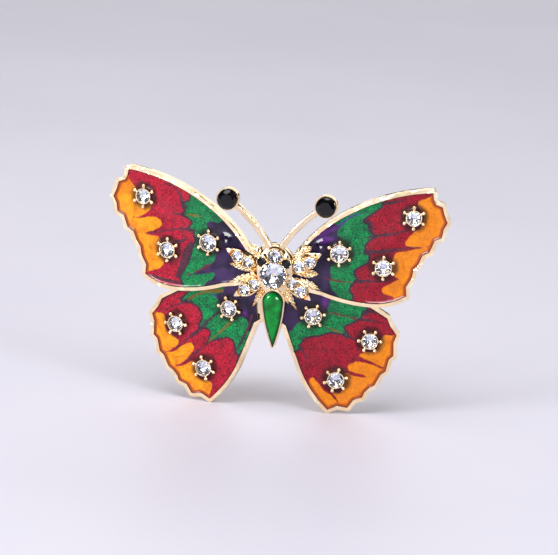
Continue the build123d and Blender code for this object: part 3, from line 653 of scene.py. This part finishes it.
# ---- stones ------------------------------------------------------------------------------------
TABLE = 0.62                # a cut stone's proportions, as shares of its radius: radii of its
STAR = 0.83                 # table, its kites' upper corners and its lower corners,
LOW_STAR = 0.3
CROWN = 0.36                # and heights
GIRDLE = 0.06
PAVILION = 0.72


def stone_side(name):
    """The wing that the stone leans with: -1, 1, or 0 for a stone that faces straight ahead."""
    if not name.startswith(("wing_stone", "leaf_stone")):
        return 0
    return -1 if name.endswith("left") else 1


def stone_seat(name):
    """The stone node's facing, the way across it, its middle across and up, radius and front."""
    side = stone_side(name)
    facing = forward(side) if side else Vector((0, -1, 0))
    across = Vector((0, 0, 1)).cross(facing).normalized()
    points = [v.co for v in nodes[name].data.vertices]
    lateral = [p.dot(across) for p in points]
    ups = [p.z for p in points]
    middle = across * (max(lateral) + min(lateral)) / 2 + Vector((0, 0, (max(ups) + min(ups)) / 2))
    return facing, across, middle, (max(ups) - min(ups)) / 2, max(p.dot(facing) for p in points)


def ring(count, radius, height, turn):
    """Points evenly round a circle, the first at the turn given in degrees."""
    angles = [radians(turn + 360 * k / count) for k in range(count)]
    return [Vector((radius * cos(a), radius * sin(a), height)) for a in angles]


def cut_stone(node, front_paint, back_paint, spin):
    """A faceted stone in place of the node: table, star, kite and girdle facets, and a pavilion."""
    facing, across, middle, radius, front = stone_seat(node)
    centre = middle + facing * (front - CROWN * radius)
    slope = (CROWN - GIRDLE) / (1 - TABLE)
    kite_height = CROWN - slope * (STAR * cos(pi / 8) - TABLE)
    low_height = -PAVILION + PAVILION * LOW_STAR * cos(pi / 8)
    verts = ring(8, TABLE, CROWN, 0) + ring(8, STAR, kite_height, 22.5) + ring(16, 1, GIRDLE, 0)
    verts += ring(16, 1, 0, 0) + ring(8, LOW_STAR, low_height, 22.5) + [Vector((0, 0, -PAVILION))]
    faces = [list(range(8))]
    for k in range(8):
        table, after, kite, before = k, (k + 1) % 8, 8 + k, 8 + (k - 1) % 8
        girdle = [16 + (2 * k + j) % 16 for j in range(3)]
        faces += [[table, kite, after], [table, before, girdle[0], kite]]
        faces += [[kite, girdle[0], girdle[1]], [kite, girdle[1], girdle[2]]]
    for k in range(16):
        faces.append([16 + k, 32 + k, 32 + (k + 1) % 16, 16 + (k + 1) % 16])
    crown_faces = len(faces)
    for k in range(8):
        under = [32 + (2 * k + j) % 16 for j in range(3)]
        kite, before = 48 + k, 48 + (k - 1) % 8
        faces += [[56, before, under[0], kite][::-1]]
        faces += [[kite, under[1], under[0]], [kite, under[2], under[1]]]
    turn = Matrix((across, facing.cross(across), facing)).transposed().to_4x4()
    turn = turn @ Matrix.Rotation(radians(spin), 4, "Z")
    place = Matrix.Translation(centre) @ turn @ Matrix.Scale(radius, 4)
    mesh = bpy.data.meshes.new(f"{node}_cut")
    mesh.from_pydata([tuple(place @ v) for v in verts], [], faces)
    mesh.materials.append(front_paint)
    mesh.materials.append(back_paint)
    for polygon in mesh.polygons:
        polygon.material_index = 1 if polygon.index >= crown_faces else 0
    shape = bmesh.new()
    shape.from_mesh(mesh)
    bmesh.ops.recalc_face_normals(shape, faces=shape.faces)
    shape.to_mesh(mesh)
    shape.free()
    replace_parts(add_object(f"{node}_cut", mesh), node)


spin = 7
for name in sorted(nodes):
    if "_stone" not in name:
        continue
    spin = (spin * 31 + 11) % 45
    if name.startswith(("antenna", "eye")):
        cut_stone(name, jet, jet, spin)
    else:
        cut_stone(name, crystal, foil, spin)


# ---- flower --------------------------------------------------------------------------------------
LEAF_COLUMNS = 14           # faces across a leaf, and along a blade and a stone leaf
BLADE_ROWS = 56
STONE_LEAF_ROWS = 40
COLLAR_GAP = 0.02           # the collars round the flower's stones
COLLAR_WALL = 0.13
COLLAR_DEPTH = 0.75
COLLAR_LIP = 0.04
COLLAR_SIDES = 40
SMALL_BEAD = 0.12
LARGE_BEAD = 0.17
MOUND_RINGS = 26
MOUND_SPOKES = 96
MOUND_RISE = 3.6            # the mound's middle above the ridge, and its half-width and half-height
MOUND_HALF = (2.75, 3.9)


def leaf_shell(shape, side, base, tip, half_width, widest, high, steps, relief):
    """Adds a closed pointed leaf to the mesh: relief gives width share and height share."""
    start = Vector(base)
    along = Vector(tip) - start
    across = Vector((-along.y, along.x)).normalized()
    power = log(0.5) / log(widest)
    tops = []
    bottoms = []
    for i in range(steps + 1):
        s = 0.02 + 0.97 * i / steps
        row = []
        for j in range(LEAF_COLUMNS + 1):
            t = 2 * j / LEAF_COLUMNS - 1
            width, height = relief(s, t)
            spot = start + along * s + across * (t * half_width * width * sin(pi * s**power) ** 0.9)
            row.append((spot, LEAF_BACK + (high - LEAF_BACK) * height))
        tops.append([shape.verts.new(leaf_point(side, spot.x, spot.y, height))
                     for spot, height in row])
        bottoms.append([shape.verts.new(leaf_point(side, spot.x, spot.y, LEAF_BACK - 0.05))
                        for spot, height in row])
    for i in range(steps):
        for j in range(LEAF_COLUMNS):
            shape.faces.new((tops[i][j], tops[i + 1][j], tops[i + 1][j + 1], tops[i][j + 1]))
            shape.faces.new((bottoms[i][j], bottoms[i][j + 1],
                             bottoms[i + 1][j + 1], bottoms[i + 1][j]))
        for j in (0, LEAF_COLUMNS):
            shape.faces.new((tops[i][j], bottoms[i][j], bottoms[i + 1][j], tops[i + 1][j]))
    for i in (0, steps):
        for j in range(LEAF_COLUMNS):
            shape.faces.new((tops[i][j], tops[i][j + 1], bottoms[i][j + 1], bottoms[i][j]))


def ribbed(count, teeth, lift):
    """Relief of a carved leaf: a middle ridge, slanting grooves and a toothed edge."""
    def relief(s, t):
        width = 1 - teeth * ((count * s) % 1)
        groove = 0.5 + 0.5 * cos(2 * pi * (count * s - 1.2 * abs(t)))
        height = (0.35 + 0.65 * lift * (1 - abs(t) ** 1.5)) * (0.62 + 0.38 * groove)
        return width, height * (1 - 0.45 * s)
    return relief


def bezel(s, t):
    """Relief of a leaf that holds stones: a sunk bed in a bright raised border."""
    border = min(1.0, max(0.0, (abs(t) - 0.66) / 0.12))
    close = min(1.0, max(0.0, (s - 0.8) / 0.06)) + min(1.0, max(0.0, (0.1 - s) / 0.05))
    raised = max(border, min(1.0, close))
    return 1.0, 0.12 + 0.88 * raised - 0.18 * max(0.0, (abs(t) - 0.85) / 0.15)


def add_ring(shape, centre, facing, across, radius, low, high):
    """Adds a closed round collar with a rounded lip, standing on its plane."""
    upward = facing.cross(across)
    wall = COLLAR_WALL
    profile = [(radius, low), (radius, high - wall * 0.3), (radius + wall * 0.5, high),
               (radius + wall, high - wall * 0.4), (radius + wall * 1.15, low)]
    rings = []
    for k in range(COLLAR_SIDES):
        angle = 2 * pi * k / COLLAR_SIDES
        spoke = across * cos(angle) + upward * sin(angle)
        rings.append([shape.verts.new(centre + (spoke * r + facing * h) * MM) for r, h in profile])
    for k in range(COLLAR_SIDES):
        here, there = rings[k], rings[(k + 1) % COLLAR_SIDES]
        for j in range(len(profile)):
            m = (j + 1) % len(profile)
            shape.faces.new((here[j], there[j], there[m], here[m])).smooth = True


def add_ball(shape, centre, radius):
    """Adds a small round bead."""
    made = bmesh.ops.create_icosphere(shape, subdivisions=2, radius=radius * MM)
    bmesh.ops.translate(shape, verts=made["verts"], vec=centre)
    for vertex in made["verts"]:
        for face in vertex.link_faces:
            face.smooth = True


# blades and stone leaves: base, tip, half-width, widest share, and a blade's relief
RIGHT_BLADES = [
    ((1.6, 4.9), (5.05, 7.55), 0.85, 0.6, ribbed(7, 0.12, 1.0)),
    ((1.9, 3.4), (6.25, 3.3), 0.68, 0.62, ribbed(8, 0.1, 1.0)),
    ((1.8, 2.6), (6.5, 1.0), 0.74, 0.55, ribbed(6, 0.3, 1.0)),
    ((0.8, 1.6), (3.2, -2.5), 0.52, 0.4, ribbed(7, 0.22, 1.0)),
    ((0.6, 1.2), (1.9, -1.6), 0.46, 0.4, ribbed(5, 0.1, 0.9)),
]
LEFT_BLADES = [
    ((1.4, 4.8), (3.7, 7.2), 0.85, 0.55, ribbed(5, 0.14, 1.0)),
    ((1.8, 3.2), (6.9, 3.75), 0.62, 0.55, ribbed(9, 0.12, 1.0)),
    ((1.7, 2.6), (6.7, 1.0), 0.78, 0.52, ribbed(6, 0.3, 1.0)),
    ((0.9, 1.5), (2.95, -2.55), 0.5, 0.4, ribbed(7, 0.22, 1.0)),
]
RIGHT_STONE_LEAVES = [((1.9, 3.8), (6.55, 6.6), 1.12, 0.5), ((0.9, 2.9), (5.2, -0.75), 1.12, 0.5)]
LEFT_STONE_LEAVES = [((2.2, 3.6), (7.4, 6.15), 1.1, 0.48), ((1.2, 1.9), (5.9, -1.1), 1.1, 0.5)]


def add_mound(shape):
    """Adds the rippled mound at the flower's heart, sunk under the stones that stand in it."""
    heart = Vector((ORNAMENT_SHIFT, RIDGE.y, RIDGE.z)) * MM
    stones = []
    for name in ("centre_stone", "head_stone", "eye_stone_left", "eye_stone_right"):
        low, high = (Vector(corner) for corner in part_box(name))
        middle = ((low + high) / 2 - heart) / MM
        radius = (high.z - low.z) / 2 / MM
        stones.append((middle.x, middle.z, radius, (heart.y - low.y) / MM - CROWN * radius))

    def mound_height(x, z, share, angle):
        ripple = 0.06 * sin(9 * angle + 5 * share) + 0.05 * sin(14 * angle - 9 * share)
        height = LEAF_FRONT + 0.12 - 0.5 * share**3 + ripple * sin(pi * share)
        for stone_x, stone_z, radius, girdle in stones:
            gap = sqrt((x - stone_x) ** 2 + (z - stone_z) ** 2)
            if gap < radius + 0.1:
                height = min(height, girdle - PAVILION * max(radius - gap, 0) - 0.12)
        return max(height, LEAF_BACK + 0.05)

    def vert(x, z, height):
        return shape.verts.new(heart + Vector((x, -height, z)) * MM)

    rows = []
    for i in range(1, MOUND_RINGS + 1):
        share = i / MOUND_RINGS
        row = []
        for k in range(MOUND_SPOKES):
            angle = 2 * pi * k / MOUND_SPOKES
            x = MOUND_HALF[0] * share * cos(angle)
            z = MOUND_RISE + MOUND_HALF[1] * share * sin(angle)
            row.append((x, z, mound_height(x, z, share, angle)))
        rows.append(row)
    tops = [[vert(*place) for place in row] for row in rows]
    bases = [vert(x, z, LEAF_BACK) for x, z, height in rows[-1]]
    peak = vert(0, MOUND_RISE, mound_height(0, MOUND_RISE, 0, 0))
    foot = vert(0, MOUND_RISE, LEAF_BACK)
    for k in range(MOUND_SPOKES):
        n = (k + 1) % MOUND_SPOKES
        shape.faces.new((peak, tops[0][k], tops[0][n])).smooth = True
        shape.faces.new((foot, bases[n], bases[k]))
        shape.faces.new((tops[-1][k], bases[k], bases[n], tops[-1][n]))
        for i in range(len(tops) - 1):
            shape.faces.new((tops[i][k], tops[i + 1][k], tops[i + 1][n], tops[i][n])).smooth = True


def add_collar(shape, name):
    """Adds a collar round the flower's stone of that name, and the beads that hold it."""
    facing, across, middle, radius, front = stone_seat(name)
    radius = radius / MM
    girdle = front / MM - CROWN * radius
    add_ring(shape, middle, facing, across, radius + COLLAR_GAP, girdle - COLLAR_DEPTH, girdle + COLLAR_LIP)
    on_leaf = name.startswith("leaf_stone")
    beads = 4 if on_leaf else {"centre_stone": 8, "head_stone": 5}.get(name, 3)
    for k in range(beads):
        angle = 2 * pi * (k + 0.5) / beads + (0.3 if on_leaf else 0)
        spoke = across * cos(angle) + facing.cross(across) * sin(angle)
        bead = SMALL_BEAD if beads < 5 else LARGE_BEAD
        add_ball(shape, middle + (spoke * (radius + 0.06) + facing * (girdle + 0.02)) * MM, bead)


def build_flower():
    """The cast flower: blades, stone leaves, the mound, and the collars of its stones."""
    shape = bmesh.new()
    for side, blades, stone_leaves in ((1, RIGHT_BLADES, RIGHT_STONE_LEAVES),
                                       (-1, LEFT_BLADES, LEFT_STONE_LEAVES)):
        for base, tip, half_width, widest, relief in blades:
            leaf_shell(shape, side, base, tip, half_width, widest, LEAF_FRONT - 0.02, BLADE_ROWS, relief)
        for base, tip, half_width, widest in stone_leaves:
            leaf_shell(shape, side, base, tip, half_width, widest, LEAF_FRONT + 0.02, STONE_LEAF_ROWS, bezel)
    add_mound(shape)
    for name in sorted(nodes):
        if name.startswith(("leaf_stone", "eye_stone")) or name in ("head_stone", "centre_stone"):
            add_collar(shape, name)
    bmesh.ops.recalc_face_normals(shape, faces=shape.faces)
    mesh = bpy.data.meshes.new("flower")
    shape.to_mesh(mesh)
    shape.free()
    mesh.materials.append(carved_gold)
    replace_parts(add_object("flower", mesh), "centre_flower")


build_flower()

# ---- body ----------------------------------------------------------------------------------------
BODY_DOME = 0.5             # how far the enamel swells out of the body's cup
BODY_ROUND = 1.4            # how far in from the edge it goes on rising
BODY_CELL = 0.12


def build_body():
    """The body's enamel, as a smooth dome in its cup."""
    facing = Vector((0, -1, 0))
    mesh = nodes["body_enamel"].data.copy()
    shape = bmesh.new()
    shape.from_mesh(mesh)

    def flat(verts):
        return [(v.co.x / MM, v.co.z / MM) for v in verts]

    front_faces(shape, facing, max(v.co.dot(facing) for v in shape.verts))
    outline = np.array([flat(edge.verts) for edge in shape.edges if edge.is_boundary])
    slice_up(shape, Vector((1, 0, 0)), BODY_CELL * MM)
    slice_up(shape, Vector((0, 0, 1)), BODY_CELL * MM)
    bmesh.ops.triangulate(shape, faces=[f for f in shape.faces if len(f.verts) > 4])
    depth = line_distance(np.array(flat(shape.verts)), outline[:, 0], outline[:, 1])
    for vertex, gap in zip(shape.verts, depth):
        vertex.co += facing * BODY_DOME * sqrt(1 - (1 - min(gap / BODY_ROUND, 1.0)) ** 2) * MM
    for face in shape.faces:
        face.smooth = True
    thicken(shape, -facing * ENAMEL_SHEET * MM)
    spots = np.array(flat(shape.verts))
    shape.to_mesh(mesh)
    shape.free()
    store_field(mesh, "rim", line_distance(spots, outline[:, 0], outline[:, 1]))
    mesh.materials.clear()
    mesh.materials.append(body_green)
    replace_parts(add_object("body_dome", mesh), "body_enamel")


build_body()

# ---- gold: the CAD's own pieces, with softened edges -------------------------------------------------
SOFT_EDGES = {
    "wing_frame": 0.17, "body_cup": 0.06, "antenna_cup": 0.08, "antenna_rod": 0.12,
    "hinge_base": 0.1, "catch_body": 0.1, "catch_lock": 0.06, "hinge_rivet": 0.06, "pin_stem": 0.03,
}
PIN_FITTINGS = ("pin_stem", "catch_body", "catch_lock", "hinge_base", "hinge_rivet")


def soften(part, width):
    """Rounds the part's sharp edges with modifiers."""
    weld = part.modifiers.new("weld", "WELD")
    weld.merge_threshold = 1e-7
    bevel = part.modifiers.new("soften", "BEVEL")
    bevel.width = width * MM
    bevel.segments = 3
    bevel.limit_method = "ANGLE"
    bevel.angle_limit = radians(32)
    bevel.harden_normals = False


for name, part in sorted(nodes.items()):
    if name.startswith(("claw_setting", *SOFT_EDGES)):
        part.data.materials.clear()
        part.data.materials.append(pin_gold if name in PIN_FITTINGS else gold)
    for key, width in SOFT_EDGES.items():
        if name.startswith(key):
            soften(part, width)

# ---- camera --------------------------------------------------------------------------------------
AZIMUTH = radians(10.6)
ELEVATION = radians(14.8)
ROLL = radians(2.25)
DISTANCE = 400.0
LENS = 170.06               # on a sensor 36 mm wide
WAIST_RIGHT = -0.971        # where the brooch's waist stands from the middle of the view, in millimetres
WAIST_UP = -1.775


def add_camera():
    """A long lens at the height and side that show the brooch a little from the right and above."""
    back = Vector((sin(AZIMUTH) * cos(ELEVATION), -cos(AZIMUTH) * cos(ELEVATION), sin(ELEVATION)))
    level = Vector((cos(AZIMUTH), sin(AZIMUTH), 0))
    upright = back.cross(level)
    right = level * cos(ROLL) + upright * sin(ROLL)
    up = upright * cos(ROLL) - level * sin(ROLL)
    place = RIDGE + back * DISTANCE - right * WAIST_RIGHT - up * WAIST_UP
    data = bpy.data.cameras.new("camera")
    data.sensor_width = 36.0
    data.lens = LENS
    data.clip_start = 0.01
    data.clip_end = 10.0
    camera = bpy.data.objects.new("camera", data)
    turn = Matrix((right, up, back)).transposed().to_4x4()
    camera.matrix_world = Matrix.Translation(place * MM) @ turn
    bpy.context.scene.collection.objects.link(camera)
    bpy.context.scene.camera = camera


add_camera()
bpy.context.scene.view_settings.view_transform = "Standard"

# ---- floor and light -----------------------------------------------------------------------------
FLOOR_REACH = 1.5           # in metres, as the lights' places and sizes are


def add_floor():
    """A plain board under the brooch's lowest point."""
    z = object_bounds()[0][2]
    far = FLOOR_REACH
    mesh = bpy.data.meshes.new("floor")
    mesh.from_pydata([(-far, -far, z), (far, -far, z), (far, far, z), (-far, far, z)], [], [(0, 1, 2, 3)])
    mesh.materials.append(floor_paint())
    floor = bpy.data.objects.new("floor", mesh)
    bpy.context.scene.collection.objects.link(floor)


def add_area(name, place, size, power, colour=(1, 1, 1)):
    """A soft box that faces the brooch."""
    data = bpy.data.lights.new(name, "AREA")
    data.shape = "RECTANGLE"
    data.size, data.size_y = size
    data.energy = power
    data.color = colour
    light = bpy.data.objects.new(name, data)
    turn = Vector(place).to_track_quat("Z", "Y").to_matrix().to_4x4()
    light.matrix_world = Matrix.Translation(Vector(place)) @ turn
    bpy.context.scene.collection.objects.link(light)


def add_world():
    """A dim, slightly cool surrounding light."""
    world = bpy.data.worlds.new("world")
    bpy.context.scene.world = world
    world.use_nodes = True
    background = world.node_tree.nodes["Background"]
    background.inputs["Color"].default_value = (0.83, 0.84, 0.9, 1)
    background.inputs["Strength"].default_value = 0.07


add_floor()
add_area("overhead", (-0.05, -0.12, 0.55), (0.45, 0.35), 2.3)
add_area("left", (-0.45, -0.35, 0.3), (0.22, 0.4), 1.7, (1.0, 0.98, 0.96))
add_area("right", (0.5, -0.3, 0.3), (0.2, 0.4), 1.2, (0.96, 0.98, 1.0))
add_area("backdrop", (0.0, 0.75, 0.32), (1.3, 0.5), 2.5)
add_area("lamp_left", (-0.25, -0.43, 0.0), (0.09, 0.09), 0.85)
add_area("lamp_right", (0.075, -0.49, 0.0), (0.09, 0.09), 0.85)
add_world()
